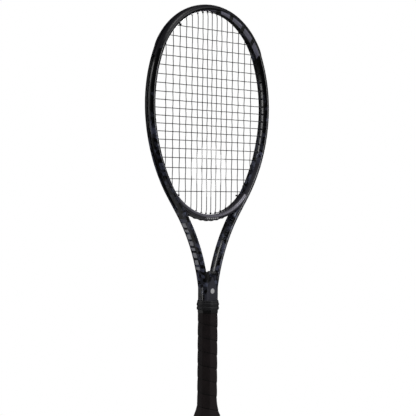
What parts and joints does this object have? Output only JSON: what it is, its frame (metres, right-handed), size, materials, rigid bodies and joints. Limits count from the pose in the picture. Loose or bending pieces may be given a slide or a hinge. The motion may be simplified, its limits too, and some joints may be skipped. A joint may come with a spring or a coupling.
{
  "type": "tennis racket",
  "caption": "Graphite tennis racket with an open throat, woven strings, a wrapped grip and a butt cap with a trap door.",
  "frame": {"origin": "middle of the butt's end face", "axes": "+Z from the butt to the head, +X across the head, +Y the way the strings face"},
  "size_m": [0.2695, 0.0418, 0.6857],
  "materials": {
    "frame_paint": "glossy clear coat over graphite",
    "bridge_paint": "satin",
    "bumper_plastic": "satin",
    "grommet_plastic": "satin",
    "string": "smooth",
    "pallet_foam": "rigid foam",
    "underwrap_tape": "thin tape",
    "grip_leather": "matte, tacky",
    "tape": "vinyl tape",
    "collar_rubber": "matte",
    "cap_plastic": "fine grain",
    "tack_steel": "plain"
  },
  "bodies": {
    "racket": {"frame_tube": "frame_paint", "throat_bridge": "bridge_paint", "crotch_web": "frame_paint", "bumper_guard": "bumper_plastic", "left_grommet_strip": "grommet_plastic", "right_grommet_strip": "grommet_plastic", "throat_grommet_strip": "grommet_plastic", "main_string": "string", "cross_string": "string", "main_knots": "string", "cross_knots": "string", "front_pallet": "pallet_foam", "back_pallet": "pallet_foam", "shaft_plugs": "pallet_foam", "underwrap": "underwrap_tape", "base_grip": "grip_leather", "finishing_tape": "tape", "grip_collar": "collar_rubber", "butt_cap": "cap_plastic", "cap_tacks": "tack_steel", "door_pin": "tack_steel"},
    "door": {"trap_door": "cap_plastic"}
  },
  "joints": [
    {"name": "trap_door_hinge", "type": "hinge", "parent": "racket", "child": "door", "pos_m": [0, 0.009, 0.0019], "axis": [1, 0, 0], "range_deg": [0, 90]}
  ]
}
